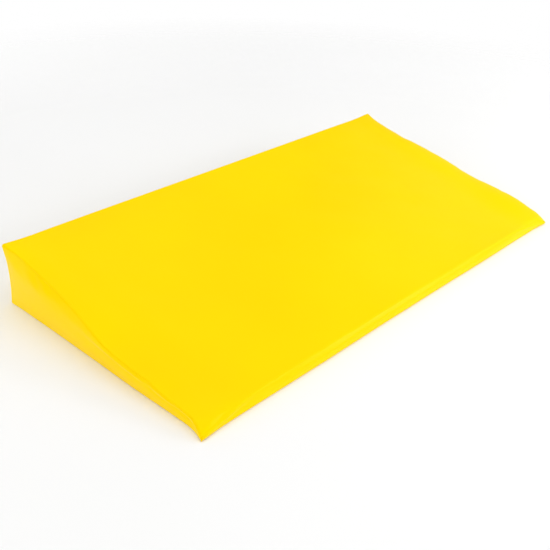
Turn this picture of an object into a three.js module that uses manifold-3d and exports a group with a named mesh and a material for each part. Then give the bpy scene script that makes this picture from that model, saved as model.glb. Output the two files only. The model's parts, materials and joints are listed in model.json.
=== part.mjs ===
// A vinyl-covered foam incline wedge with a zipped cover, two vents and a webbing handle.
// Millimetres. +X runs along the tall edge, +Y points to the tall rear face, +Z is up.
// The origin is on the floor, under the middle of the wedge.

import * as THREE from 'three';
import { mergeVertices } from 'three/addons/utils/BufferGeometryUtils.js';
import Module from 'manifold-3d';

const wasm = await Module();
wasm.setup();

// The wedge.
const WIDTH = 1200;
const DEPTH = 600;
const HEIGHT = 140;
const NOSE_RADIUS = 11;
const NOSE_STEPS = 24;

// The cover and the foam in it.
const VINYL = 1;
const GAP = 0.3;
const FIRM_LAYER = 15;
const FOAM_REAR_CLEARANCE = 5; // leaves room for the back of the zip slider

// The zip across the rear face.
const ZIP_HEIGHT = 45;
const ZIP_SLOT = 12;
const TAPE = { length: 1140, width: 14, thickness: 0.8 };
const TEETH = { length: 1060, width: 1.7, thickness: 2.2, middleGap: 1.6 };
const ZIP_STOP = { length: 4, thickness: 3 };
const ZIP_TAB = { length: 44, width: 34, inset: 20 };

// The slider and its pull.
const SLIDER = { length: 16, width: 11, plate: 1.2, bridgeLength: 10, bridge: 1, endRoom: 4 };
const PIN_RADIUS = 0.9;
const PIN_SIDES = 16;
const POST = { length: 1.6, height: 2.4 };
const KNUCKLE = { length: 7, radius: 2, sides: 24 };
const PULL = { width: 8, reach: 28, thickness: 1.4 };

// The webbing handle on the rear face.
const HANDLE_HEIGHT = 98;
const WEBBING = { width: 38, thickness: 1.6 };
const GRIP_WIDTH = 20;
const LOOP_DEPTH = 32;
const LOOP_FLAT_HALF = 35;
const LOOP_FOOT_HALF = 80;
const LOOP_END_HALF = 59;
const SEWN_LENGTH = 50;
const LOOP_END_WIDTH = 25;
const LOOP_STEPS = 32;
const LOOP_DROOP = THREE.MathUtils.degToRad(12);
const PATCH = { length: 62, width: 48 };

// The vents and the label.
const VENT = { x: 500, boreRadius: 5, barrelRadius: 5.6, flangeRadius: 9, dome: 1.5, sides: 32 };
const WASHER_THICKNESS = 0.6;
const LABEL = { x: -430, width: 32, height: 24, thickness: 0.5, bottom: 8 };

const REAR = DEPTH / 2;
const SHELL_WIDTH = WIDTH - 2 * (VINYL + GAP);

const material = (color, roughness, metalness = 0) =>
  new THREE.MeshStandardMaterial({ color, roughness, metalness });

const yellowVinyl = material('#ffe001', 0.38);
const nonSlipVinyl = material('#6d6f6c', 0.8);
const softFoam = material('#f1e6c4', 0.95);
const firmFoam = material('#d8d9d6', 0.9);
const tapeCloth = material('#f0cd12', 0.85);
const coilNylon = material('#e3bd10', 0.5);
const zipMetal = material('#a9a9a6', 0.35, 1);
const webbingCloth = material('#1f1f21', 0.8);
const brass = material('#b6924a', 0.35, 1);
const labelCloth = material('#f2f2ee', 0.9);

const mat = new THREE.Group();

// ---------------------------------------------------------------- helpers

function add(parent, name, geometry, finish) {
  const mesh = new THREE.Mesh(geometry, finish);
  mesh.name = name;
  parent.add(mesh);
  return mesh;
}

function toSolid(geometry) {
  const bare = geometry.clone();
  bare.deleteAttribute('normal');
  bare.deleteAttribute('uv');
  const merged = mergeVertices(bare);
  return new wasm.Manifold(
    new wasm.Mesh({
      numProp: 3,
      vertProperties: new Float32Array(merged.attributes.position.array),
      triVerts: new Uint32Array(merged.index.array),
    }),
  );
}

function toGeometry(solid) {
  const { vertProperties, triVerts } = solid.getMesh();
  const geometry = new THREE.BufferGeometry();
  geometry.setAttribute('position', new THREE.BufferAttribute(vertProperties, 3));
  geometry.setIndex(new THREE.BufferAttribute(triVerts, 1));
  geometry.computeVertexNormals();
  return geometry;
}

// A box given by its middle and its sizes.
function block([x, y, z], [sx, sy, sz]) {
  return new THREE.BoxGeometry(sx, sy, sz).translate(x, y, z);
}

// A round rod along X, through the origin.
function rod(radius, length, sides) {
  return new THREE.CylinderGeometry(radius, radius, length, sides).rotateZ(Math.PI / 2);
}

// A box on the rear face: its outer face is a set height off the face, and it is drawn inwards.
function rearBlock(x, z, length, height, thickness, outerY) {
  return block([x, outerY - thickness / 2, z], [length, thickness, height]);
}

// Extrudes a side outline, drawn as (y, z), from one x to another.
function extrudeAcross(outline, fromX, toX) {
  const geometry = new THREE.ExtrudeGeometry(outline, {
    depth: toX - fromX,
    bevelEnabled: false,
    curveSegments: NOSE_STEPS,
  });
  const across = new THREE.Matrix4().makeBasis(
    new THREE.Vector3(0, 1, 0),
    new THREE.Vector3(0, 0, 1),
    new THREE.Vector3(1, 0, 0),
  );
  return geometry.applyMatrix4(across).translate(fromX, 0, 0);
}

// ---------------------------------------------------------------- the wedge's side outline

// The slope runs from the top of the rear face to a line that touches the nose's arc.
const noseCentre = new THREE.Vector2(-REAR + NOSE_RADIUS, NOSE_RADIUS);
const rearTop = new THREE.Vector2(REAR, HEIGHT);
const toRearTop = rearTop.clone().sub(noseCentre);
const slopeNormalAngle = toRearTop.angle() + Math.acos(NOSE_RADIUS / toRearTop.length());
const slopeNormal = new THREE.Vector2(Math.cos(slopeNormalAngle), Math.sin(slopeNormalAngle));

// The height of the slope at a given y, on a line parallel to it and a set distance inside it.
function slopeHeight(y, inset) {
  const onSlope = rearTop.clone().addScaledVector(slopeNormal, -inset);
  return onSlope.y - ((y - onSlope.x) * slopeNormal.x) / slopeNormal.y;
}

// The closed outline of the wedge, brought in by an inset, with its own inset at the rear.
function wedgeOutline(inset, rearInset) {
  const radius = NOSE_RADIUS - inset;
  const rearY = REAR - rearInset;
  const outline = new THREE.Shape();
  outline.moveTo(rearY, inset);
  outline.lineTo(rearY, slopeHeight(rearY, inset));
  outline.absarc(noseCentre.x, noseCentre.y, radius, slopeNormalAngle, (3 * Math.PI) / 2, false);
  outline.closePath();
  return outline;
}

// ---------------------------------------------------------------- foam

function addFoam() {
  const inset = VINYL + GAP;
  const half = SHELL_WIDTH / 2 - GAP;
  const filling = toSolid(extrudeAcross(wedgeOutline(inset, FOAM_REAR_CLEARANCE), -half, half));

  // Everything above a line that lies a set depth under the slope.
  const clearTop = 3 * HEIGHT;
  const above = (depth) => {
    const outline = new THREE.Shape();
    outline.moveTo(-DEPTH, slopeHeight(-DEPTH, depth));
    outline.lineTo(DEPTH, slopeHeight(DEPTH, depth));
    outline.lineTo(DEPTH, clearTop);
    outline.lineTo(-DEPTH, clearTop);
    outline.closePath();
    return toSolid(extrudeAcross(outline, -WIDTH, WIDTH));
  };
  const firmDepth = inset + FIRM_LAYER;
  add(mat, 'foam_core', toGeometry(filling.subtract(above(firmDepth + GAP))), softFoam);
  add(mat, 'foam_top_layer', toGeometry(filling.intersect(above(firmDepth))), firmFoam);
}

// ---------------------------------------------------------------- cover

// One strip of vinyl down the slope and round the nose to the seam under it.
function topPanelOutline() {
  const inner = NOSE_RADIUS - VINYL;
  const noseEnd = (3 * Math.PI) / 2;
  const outline = new THREE.Shape();
  outline.moveTo(REAR, slopeHeight(REAR, VINYL));
  outline.lineTo(REAR, HEIGHT);
  outline.absarc(noseCentre.x, noseCentre.y, NOSE_RADIUS, slopeNormalAngle, noseEnd, false);
  outline.absarc(noseCentre.x, noseCentre.y, inner, noseEnd, slopeNormalAngle, true);
  outline.closePath();
  return outline;
}

function rearPanelUpper() {
  const bottom = ZIP_HEIGHT + ZIP_SLOT / 2;
  const top = slopeHeight(REAR - VINYL, VINYL + GAP);
  const outline = new THREE.Shape();
  outline.moveTo(-SHELL_WIDTH / 2, bottom);
  outline.lineTo(SHELL_WIDTH / 2, bottom);
  outline.lineTo(SHELL_WIDTH / 2, top);
  outline.lineTo(-SHELL_WIDTH / 2, top);
  outline.closePath();
  for (const side of [-1, 1]) {
    const hole = new THREE.Path();
    hole.absarc(side * VENT.x, HANDLE_HEIGHT, VENT.barrelRadius + GAP, 0, 2 * Math.PI, true);
    outline.holes.push(hole);
  }
  return new THREE.ExtrudeGeometry(outline, {
    depth: VINYL,
    bevelEnabled: false,
    curveSegments: VENT.sides / 2,
  });
}

function addCover() {
  const half = SHELL_WIDTH / 2;
  add(mat, 'top_panel', extrudeAcross(topPanelOutline(), -half, half), yellowVinyl);

  const baseFront = noseCentre.x + GAP;
  const baseRear = REAR - VINYL - GAP;
  const baseMiddle = [0, (baseFront + baseRear) / 2, VINYL / 2];
  const baseSize = [SHELL_WIDTH, baseRear - baseFront, VINYL];
  add(mat, 'base_panel', block(baseMiddle, baseSize), nonSlipVinyl);

  const sides = { left_side_panel: -WIDTH / 2, right_side_panel: WIDTH / 2 - VINYL };
  for (const [name, fromX] of Object.entries(sides)) {
    add(mat, name, extrudeAcross(wedgeOutline(0, 0), fromX, fromX + VINYL), yellowVinyl);
  }

  const lowerHeight = ZIP_HEIGHT - ZIP_SLOT / 2;
  const lower = rearBlock(0, lowerHeight / 2, SHELL_WIDTH, lowerHeight, VINYL, REAR);
  add(mat, 'rear_panel_lower', lower, yellowVinyl);

  const upper = add(mat, 'rear_panel_upper', rearPanelUpper(), yellowVinyl);
  upper.rotation.x = Math.PI / 2;
  upper.position.y = REAR;
}

// ---------------------------------------------------------------- zip

function addZip() {
  const tapeOuterY = REAR - VINYL - GAP;
  const teethOffset = (TEETH.middleGap + TEETH.width) / 2;
  const tapeOffset = TEETH.middleGap / 2 + TEETH.width + GAP + TAPE.width / 2;
  const stopX = TEETH.length / 2 + GAP + ZIP_STOP.length / 2;

  for (const [row, up] of [['upper', 1], ['lower', -1]]) {
    const tapeZ = ZIP_HEIGHT + up * tapeOffset;
    const tape = rearBlock(0, tapeZ, TAPE.length, TAPE.width, TAPE.thickness, tapeOuterY);
    add(mat, `zip_tape_${row}`, tape, tapeCloth);

    const teethZ = ZIP_HEIGHT + up * teethOffset;
    const teeth = rearBlock(0, teethZ, TEETH.length, TEETH.width, TEETH.thickness, REAR);
    add(mat, `zip_teeth_${row}`, teeth, coilNylon);

    const stop = rearBlock(stopX, teethZ, ZIP_STOP.length, TEETH.width, ZIP_STOP.thickness, REAR);
    add(mat, `zip_end_stop_${row}`, stop, zipMetal);
  }

  const startWidth = TEETH.middleGap + 2 * TEETH.width;
  const start = rearBlock(-stopX, ZIP_HEIGHT, ZIP_STOP.length, startWidth, ZIP_STOP.thickness, REAR);
  add(mat, 'zip_start_stop', start, zipMetal);

  const tabX = WIDTH / 2 - ZIP_TAB.inset - ZIP_TAB.length / 2;
  const tabOuterY = REAR + GAP + VINYL;
  for (const [side, sign] of [['left', -1], ['right', 1]]) {
    const tab = rearBlock(sign * tabX, ZIP_HEIGHT, ZIP_TAB.length, ZIP_TAB.width, VINYL, tabOuterY);
    add(mat, `zip_tab_${side}`, tab, yellowVinyl);
  }
}

// The slider clasps the two rows of teeth between a front and a back plate, joined by a thin
// bridge in the gap between the rows. The pull's knuckle turns on a pin between two posts.
function addSlider() {
  const frontY = GAP + SLIDER.plate / 2;
  const backY = -TEETH.thickness - GAP - SLIDER.plate / 2;
  const plateFaceY = GAP + SLIDER.plate;
  const pinY = plateFaceY + POST.height;
  const postTop = pinY + PIN_RADIUS + GAP;
  const postX = KNUCKLE.length / 2 + GAP + POST.length / 2;
  const plate = [SLIDER.length, SLIDER.plate, SLIDER.width];

  const slider = new THREE.Group();
  const restX = TEETH.length / 2 - SLIDER.length / 2 - SLIDER.endRoom;
  slider.position.set(restX, REAR, ZIP_HEIGHT);
  mat.add(slider);

  let body = toSolid(block([0, frontY, 0], plate)).add(toSolid(block([0, backY, 0], plate)));
  const bridge = [SLIDER.bridgeLength, frontY - backY, SLIDER.bridge];
  body = body.add(toSolid(block([0, (frontY + backY) / 2, 0], bridge)));
  for (const side of [-1, 1]) {
    const post = [POST.length, postTop - frontY, 2 * (PIN_RADIUS + GAP)];
    body = body.add(toSolid(block([side * postX, (postTop + frontY) / 2, 0], post)));
  }
  const pin = rod(PIN_RADIUS, 2 * postX, PIN_SIDES).translate(0, pinY, 0);
  body = body.add(toSolid(pin));
  add(slider, 'zip_slider', toGeometry(body), zipMetal);

  const pull = new THREE.Group();
  pull.position.y = pinY;
  slider.add(pull);
  const knuckle = rod(KNUCKLE.radius, KNUCKLE.length, KNUCKLE.sides);
  const bore = rod(PIN_RADIUS + GAP, PULL.width, PIN_SIDES);
  const blade = block([0, 0, -PULL.reach / 2], [PULL.width, PULL.thickness, PULL.reach]);
  const narrowing = block([0, 0, 0], [PULL.width, 2 * KNUCKLE.radius, 2 * KNUCKLE.radius]);
  const tab = toSolid(blade)
    .subtract(toSolid(narrowing))
    .add(toSolid(knuckle))
    .add(toSolid(block([0, 0, -KNUCKLE.radius], [KNUCKLE.length, PULL.thickness, PIN_RADIUS])))
    .subtract(toSolid(bore));
  add(pull, 'zip_pull', toGeometry(tab), zipMetal);
}

// ---------------------------------------------------------------- handle

// Half the webbing's width at set distances from the middle of the handle, from the sewn end to
// the folded grip.
const WEBBING_TAPER = [
  [LOOP_FOOT_HALF + SEWN_LENGTH, WEBBING.width / 2],
  [LOOP_FOOT_HALF, WEBBING.width / 2],
  [LOOP_END_HALF, LOOP_END_WIDTH / 2],
  [LOOP_FLAT_HALF, GRIP_WIDTH / 2],
];

// How far the webbing's middle plane stands off its sewn ends: flat in the middle of the loop,
// then a smooth ramp down to the foot at each side.
function standOff(x) {
  const ramp = (Math.abs(x) - LOOP_FLAT_HALF) / (LOOP_FOOT_HALF - LOOP_FLAT_HALF);
  return (LOOP_DEPTH * (1 + Math.cos(Math.PI * THREE.MathUtils.clamp(ramp, 0, 1)))) / 2;
}

// A stretch of the webbing as a solid around its middle plane, tapering from the sewn ends to
// the folded grip.
function webbing(fromX, toX, steps) {
  const outer = [];
  const inner = [];
  const step = (toX - fromX) / steps;
  for (let i = 0; i <= steps; i += 1) {
    const x = fromX + i * step;
    const slope = (standOff(x + 1) - standOff(x - 1)) / 2;
    const halfDepth = (WEBBING.thickness / 2) * Math.hypot(1, slope);
    outer.push(new THREE.Vector2(x, standOff(x) + halfDepth));
    inner.unshift(new THREE.Vector2(x, standOff(x) - halfDepth));
  }
  const band = new THREE.ExtrudeGeometry(new THREE.Shape([...outer, ...inner]), {
    depth: WEBBING.width,
    bevelEnabled: false,
  }).translate(0, 0, -WEBBING.width / 2);

  const quarter = (signX, signZ) =>
    WEBBING_TAPER.map(([x, z]) => new THREE.Vector2(signX * x, signZ * z));
  const face = new THREE.Shape([
    ...quarter(1, 1),
    ...quarter(-1, 1).reverse(),
    ...quarter(-1, -1),
    ...quarter(1, -1).reverse(),
  ]);
  const taperDepth = 3 * LOOP_DEPTH;
  const taper = new THREE.ExtrudeGeometry(face, { depth: taperDepth, bevelEnabled: false })
    .rotateX(Math.PI / 2)
    .translate(0, taperDepth / 2, 0);
  return toGeometry(toSolid(band).intersect(toSolid(taper)));
}

function addHandle() {
  const patchOuterY = REAR + GAP + VINYL;
  const handle = new THREE.Group();
  handle.position.set(0, patchOuterY + GAP + WEBBING.thickness / 2, HANDLE_HEIGHT);
  mat.add(handle);

  const endFrom = LOOP_END_HALF + GAP / 2;
  const endTo = LOOP_FOOT_HALF + SEWN_LENGTH;
  const patchX = endTo - SEWN_LENGTH / 2;
  const stretches = { left: [-endTo, -endFrom, -1], right: [endFrom, endTo, 1] };
  for (const [side, [fromX, toX, sign]] of Object.entries(stretches)) {
    const patch = rearBlock(sign * patchX, HANDLE_HEIGHT, PATCH.length, PATCH.width, VINYL, patchOuterY);
    add(mat, `handle_patch_${side}`, patch, yellowVinyl);
    add(handle, `handle_end_${side}`, webbing(fromX, toX, LOOP_STEPS / 2), webbingCloth);
  }

  const loopHalf = LOOP_END_HALF - GAP / 2;
  const loop = add(handle, 'handle_loop', webbing(-loopHalf, loopHalf, LOOP_STEPS), webbingCloth);
  loop.rotation.x = -LOOP_DROOP;
}

// ---------------------------------------------------------------- vents and label

// The eyelet's barrel passes through the panel, and its flange stands on the outside.
function eyelet() {
  const profile = [
    [VENT.boreRadius, -VINYL - GAP - WASHER_THICKNESS - GAP],
    [VENT.barrelRadius, -VINYL - GAP - WASHER_THICKNESS - GAP],
    [VENT.barrelRadius, GAP],
    [VENT.flangeRadius, GAP],
    [VENT.flangeRadius, 2 * GAP],
    [(VENT.flangeRadius + VENT.boreRadius) / 2, VENT.dome],
    [VENT.boreRadius, VENT.dome / 2],
    [VENT.boreRadius, -VINYL - GAP - WASHER_THICKNESS - GAP],
  ];
  return lathe(profile);
}

function washer() {
  const inner = VENT.barrelRadius + GAP;
  const outerY = -VINYL - GAP;
  const innerY = outerY - WASHER_THICKNESS;
  return lathe([
    [inner, innerY],
    [VENT.flangeRadius, innerY],
    [VENT.flangeRadius, outerY],
    [inner, outerY],
    [inner, innerY],
  ]);
}

function lathe(profile) {
  const points = profile.map(([r, y]) => new THREE.Vector2(r, y));
  return new THREE.LatheGeometry(points, VENT.sides);
}

function addVents() {
  for (const [side, sign] of [['left', -1], ['right', 1]]) {
    const parts = { eyelet: eyelet(), washer: washer() };
    for (const [part, geometry] of Object.entries(parts)) {
      const mesh = add(mat, `vent_${part}_${side}`, geometry, brass);
      mesh.position.set(sign * VENT.x, REAR, HANDLE_HEIGHT);
    }
  }
}

function addLabel() {
  const outerY = REAR + GAP + LABEL.thickness;
  const middleZ = LABEL.bottom + LABEL.height / 2;
  const label = rearBlock(LABEL.x, middleZ, LABEL.width, LABEL.height, LABEL.thickness, outerY);
  add(mat, 'care_label', label, labelCloth);
}

addFoam();
addCover();
addZip();
addSlider();
addHandle();
addVents();
addLabel();

export default mat;
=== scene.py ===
"""A yellow vinyl incline wedge mat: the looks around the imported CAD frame. Metres, +Z up."""

import json
import math

import bmesh
import bpy
import numpy as np
from mathutils import Matrix, Vector


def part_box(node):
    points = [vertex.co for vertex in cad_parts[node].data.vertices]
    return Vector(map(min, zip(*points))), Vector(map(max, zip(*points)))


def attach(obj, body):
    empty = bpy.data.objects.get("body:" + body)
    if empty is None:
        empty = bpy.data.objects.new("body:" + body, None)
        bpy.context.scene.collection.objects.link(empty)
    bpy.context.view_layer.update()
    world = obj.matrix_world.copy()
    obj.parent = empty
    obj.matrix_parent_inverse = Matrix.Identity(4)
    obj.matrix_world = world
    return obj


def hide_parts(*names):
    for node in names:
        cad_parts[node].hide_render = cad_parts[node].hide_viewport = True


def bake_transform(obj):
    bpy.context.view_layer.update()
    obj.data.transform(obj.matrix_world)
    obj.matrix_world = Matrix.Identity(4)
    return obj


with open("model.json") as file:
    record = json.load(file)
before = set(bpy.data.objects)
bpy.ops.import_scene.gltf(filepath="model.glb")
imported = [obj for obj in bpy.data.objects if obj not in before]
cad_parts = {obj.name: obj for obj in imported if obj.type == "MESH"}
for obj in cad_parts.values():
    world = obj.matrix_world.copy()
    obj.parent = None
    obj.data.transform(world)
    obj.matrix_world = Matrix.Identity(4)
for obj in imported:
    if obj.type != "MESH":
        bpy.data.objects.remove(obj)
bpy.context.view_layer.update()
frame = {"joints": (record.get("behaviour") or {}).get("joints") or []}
scene = bpy.context.scene
MM = 0.001

# ---------- sizes from the frame


def middle_of(cad_node):
    low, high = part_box(cad_node)
    return (low + high) / 2


SIDE_LOW, SIDE_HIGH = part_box("left_side_panel")
HALF_WIDTH = -SIDE_LOW.x
FRONT = SIDE_LOW.y
REAR = SIDE_HIGH.y
DEPTH = REAR - FRONT
HEIGHT = SIDE_HIGH.z
ZIP_Z = (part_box("zip_teeth_upper")[1].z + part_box("zip_teeth_lower")[0].z) / 2
SLOT_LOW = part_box("rear_panel_lower")[1].z
SLOT_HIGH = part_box("rear_panel_upper")[0].z
NOSE_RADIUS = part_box("base_panel")[0].y - FRONT
JOINTS = {joint["name"]: joint for joint in frame["joints"]}

# ---------- camera and light

VIEW_AZIMUTH = math.radians(-48.30)
VIEW_ELEVATION = math.radians(29.93)
VIEW_ROLL = math.radians(2.66)
VIEW_DISTANCE = 1.9358
VIEW_TARGET = Vector((-0.1061, -0.0008, 0))
LENS = 55.38
FLOOR_SIZE = 6.0
FLOOR_FADE = (1.3, 2.4)     # how far from the mat the floor starts and ends fading
ROOM_LIGHT = 0.12           # the world's light; the camera itself sees a white backdrop
LIGHT_TARGET = Vector((0, 0, 0.06))
# each softbox's name, place, size and power, and whether shiny surfaces mirror it
SOFTBOXES = (
    ("overhead_softbox", (0, 0.3, 3.4), (5.0, 5.0), 99, False),
    ("left_softbox", (-3.4, 0, 1.0), (3.0, 2.0), 50, False),
    ("front_softbox", (0, -3.4, 1.0), (3.0, 2.0), 48, False),
    ("right_softbox", (3.4, 0, 1.3), (3.0, 2.2), 30, False),
    ("rear_softbox", (0, 3.4, 1.3), (3.0, 2.2), 30, False),
    ("nose_softbox", (2.2, -2.3, 1.5), (1.4, 0.9), 34, True),
)


def configure(thing, **settings):
    for key, value in settings.items():
        setattr(thing, key, value)
    return thing


def link_object(name, data):
    made = bpy.data.objects.new(name, data)
    scene.collection.objects.link(made)
    return made


def aim(thing, place, target, roll=0.0):
    """Puts a camera or a light at a place, looking at the target."""
    facing = (target - place).to_track_quat("-Z", "Y").to_matrix().to_4x4()
    thing.matrix_world = Matrix.Translation(place) @ facing @ Matrix.Rotation(roll, 4, "Z")


def add_camera():
    data = bpy.data.cameras.new("camera")
    data.lens = LENS
    scene.camera = link_object("camera", data)
    level = math.cos(VIEW_ELEVATION)
    back = Vector((math.sin(VIEW_AZIMUTH) * level, -math.cos(VIEW_AZIMUTH) * level, math.sin(VIEW_ELEVATION)))
    aim(scene.camera, VIEW_TARGET + back * VIEW_DISTANCE, VIEW_TARGET, VIEW_ROLL)


def add_lights():
    """The softboxes, and a dim room that looks white to the camera."""
    for name, place, size, power, mirrored in SOFTBOXES:
        data = bpy.data.lights.new(name, "AREA")
        configure(data, shape="RECTANGLE", size=size[0], size_y=size[1], energy=power)
        light = link_object(name, data)
        light.visible_glossy = mirrored
        aim(light, Vector(place), LIGHT_TARGET)
    world = bpy.data.worlds.new("studio")
    world.use_nodes = True
    room = Nodes(world.node_tree)
    seen = room.node("LightPath").outputs["Is Camera Ray"]
    strength = room.remap(seen, ROOM_LIGHT, 1.0, 0.0, 1.0)
    room.plug(world.node_tree.nodes["Background"], {"Color": (1, 1, 1, 1), "Strength": strength})
    scene.world = world
    scene.view_settings.view_transform = "Standard"


# ---------- shader nodes


class Nodes:
    """Short ways to add nodes to a material's tree or the world's."""

    def __init__(self, tree):
        self.tree = tree

    def plug(self, made, inputs):
        """Links or sets inputs of a node."""
        for key, value in inputs.items():
            if isinstance(value, bpy.types.NodeSocket):
                self.tree.links.new(value, made.inputs[key])
            else:
                made.inputs[key].default_value = value

    def node(self, kind, inputs=None, **settings):
        made = configure(self.tree.nodes.new("ShaderNode" + kind), **settings)
        self.plug(made, inputs or {})
        return made

    def place(self):
        """The object's own coordinates, in metres."""
        return self.node("TexCoord").outputs["Object"]

    def noise(self, scale, detail=3.0, roughness=0.5):
        """Noise with a scale in repeats per metre."""
        inputs = {"Vector": self.place(), "Scale": scale, "Detail": detail, "Roughness": roughness}
        return self.node("TexNoise", inputs).outputs["Fac"]

    def cells(self, scale, feature="F1", randomness=1.0):
        inputs = {"Vector": self.place(), "Scale": scale, "Randomness": randomness}
        return self.node("TexVoronoi", inputs, feature=feature).outputs["Distance"]

    def remap(self, value, low, high, from_low=0.3, from_high=0.7):
        inputs = {"Value": value, "From Min": from_low, "From Max": from_high, "To Min": low, "To Max": high}
        return self.node("MapRange", inputs).outputs["Result"]

    def mix(self, factor, first, second):
        """Mixes two colours, by the numbers of the mix node's colour sockets."""
        return self.node("Mix", {0: factor, 6: first, 7: second}, data_type="RGBA").outputs[2]

    def shade(self, value, dark, light, *span):
        """Goes from the dark colour to the light one as the value crosses its span."""
        return self.mix(self.remap(value, 0.0, 1.0, *span), dark, light)


class Finish(Nodes):
    """A principled material."""

    def __init__(self, name, **values):
        self.material = bpy.data.materials.new(name)
        self.material.use_nodes = True
        super().__init__(self.material.node_tree)
        self.set(**values)

    def set(self, **values):
        """Sets or links the surface's inputs; an underscore stands for a space in an input's name."""
        surface = self.tree.nodes["Principled BSDF"]
        self.plug(surface, {key.replace("_", " "): value for key, value in values.items()})

    def bumps(self, *layers):
        """Chains bump nodes; each layer is (height, strength, distance in millimetres)."""
        chained = {}
        for height, strength, distance in layers:
            inputs = {"Height": height, "Strength": strength, "Distance": distance * MM, **chained}
            chained = {"Normal": self.node("Bump", inputs).outputs["Normal"]}
        self.set(**chained)


def srgb(red, green, blue):
    """A colour given as 0 to 255 on screen, as linear values."""
    linear = [c / 12.92 if c <= 0.04045 else ((c + 0.055) / 1.055) ** 2.4
              for c in (red / 255, green / 255, blue / 255)]
    return (*linear, 1.0)


# ---------- materials


def vinyl_material():
    """Semi-gloss PVC-coated cloth: fine leather grain, uneven gloss and a faint change of tone."""
    vinyl = Finish("yellow_vinyl", IOR=1.5, Specular_IOR_Level=0.1, Specular_Tint=(1.0, 0.9, 0.3, 1.0))
    vinyl.set(Base_Color=vinyl.shade(vinyl.noise(2.5, 2.0), srgb(255, 214, 0), srgb(255, 220, 0)),
              Roughness=vinyl.remap(vinyl.noise(9, 5.0, 0.65), 0.32, 0.44))
    ripple = vinyl.noise(26, 2.0)
    grain = vinyl.cells(620, "SMOOTH_F1")
    creases = vinyl.noise(1500)
    vinyl.bumps((ripple, 0.25, 1.2), (grain, 0.22, 0.12), (creases, 0.2, 0.06))
    return vinyl.material


def non_slip_material():
    """Matt grey base vinyl with a coarse, pebbled grip."""
    grip = Finish("non_slip_vinyl", Specular_IOR_Level=0.3)
    dust = grip.remap(grip.noise(7, 6.0, 0.7), 0.0, 1.0)
    grip.set(Base_Color=grip.mix(dust, srgb(92, 94, 92), srgb(122, 124, 121)),
             Roughness=grip.remap(dust, 0.7, 0.9))
    grip.bumps((grip.cells(900), 0.5, 0.15), (grip.noise(400), 0.3, 0.1))
    return grip.material


def foam_material(name, dark, light, cell):
    """Cut foam; cell is the pore size in millimetres."""
    foam = Finish(name, Roughness=0.95, Specular_IOR_Level=0.1)
    pores = foam.cells(1000 / cell)
    patches = foam.remap(foam.noise(6), 0.0, 0.35)
    foam.set(Base_Color=foam.mix(patches, foam.shade(pores, dark, light, 0.1, 0.6), dark))
    foam.bumps((pores, 0.8, 0.4), (foam.noise(300), 0.3, 0.3))
    return foam.material


def cloth_tape_material(name, dark, light, rib):
    """Woven tape: ribs, rib millimetres apart, along (u) and across (v) the piece's own length."""
    tape = Finish(name, Roughness=0.85, Specular_IOR_Level=0.2, Sheen_Weight=0.25, Sheen_Roughness=0.5)
    place = tape.node("UVMap").outputs["UV"]
    ribs = []
    for axis, per_metre, distortion in (("X", 1000, 0.6), ("Y", 700, 0.4)):
        inputs = {"Vector": place, "Scale": per_metre / rib / 6.28, "Distortion": distortion,
                  "Detail": 1.0, "Detail Scale": 2.0}
        ribs.append(tape.node("TexWave", inputs, bands_direction=axis).outputs["Fac"])
    weave = tape.node("Math", dict(enumerate(ribs)), operation="MULTIPLY").outputs["Value"]
    fuzz = tape.noise(900, 4.0, 0.7)
    tone = tape.shade(weave, dark, light, 0.0, 0.8)
    tape.set(Base_Color=tape.mix(tape.remap(fuzz, 0.0, 0.3), tone, dark))
    tape.bumps((weave, 0.9, 0.35), (fuzz, 0.3, 0.1))
    return tape.material


def thread_material(name, colour):
    """Twisted polyester thread."""
    thread = Finish(name, Roughness=0.55, Specular_IOR_Level=0.35, Sheen_Weight=0.3)
    twist = thread.noise(2500, 2.0)
    dark = (*(0.8 * c for c in colour[:3]), 1.0)
    thread.set(Base_Color=thread.shade(twist, dark, colour))
    thread.bumps((twist, 0.6, 0.1))
    return thread.material


def coil_material():
    """Yellow nylon zip coil."""
    coil = Finish("zip_coil", Specular_IOR_Level=0.45)
    haze = coil.noise(300)
    coil.set(Base_Color=coil.shade(haze, srgb(214, 176, 12), srgb(238, 202, 24)),
             Roughness=coil.remap(haze, 0.35, 0.5))
    coil.bumps((haze, 0.2, 0.05))
    return coil.material


def metal_material(name, dark, light, low_gloss, high_gloss):
    """Satin metal with fine wear and a few worn patches."""
    metal = Finish(name, Metallic=1.0)
    wear = metal.noise(420, 6.0, 0.7)
    metal.set(Base_Color=metal.shade(wear, dark, light), Roughness=metal.remap(wear, low_gloss, high_gloss))
    metal.bumps((wear, 0.25, 0.05), (metal.noise(2600, 2.0), 0.15, 0.03))
    return metal.material


def label_material():
    """Woven white satin, with nothing printed on it."""
    satin = Finish("label_satin", Roughness=0.6, Sheen_Weight=0.4)
    weave = satin.cells(2200, randomness=0.35)
    satin.set(Base_Color=satin.shade(weave, srgb(226, 226, 220), srgb(246, 246, 242), 0.1, 0.6))
    satin.bumps((weave, 0.5, 0.08))
    return satin.material


def floor_material():
    """A plain pale studio floor that fades into the white backdrop."""
    floor = Finish("studio_floor", Roughness=0.9, Specular_IOR_Level=0.05)
    distance = floor.node("VectorMath", {0: floor.place()}, operation="LENGTH").outputs["Value"]
    floor.set(Base_Color=floor.shade(floor.noise(0.8, 2.0), srgb(246, 246, 245), srgb(249, 249, 249)),
              Alpha=floor.remap(distance, 1.0, 0.0, *FLOOR_FADE))
    return floor.material


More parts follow.
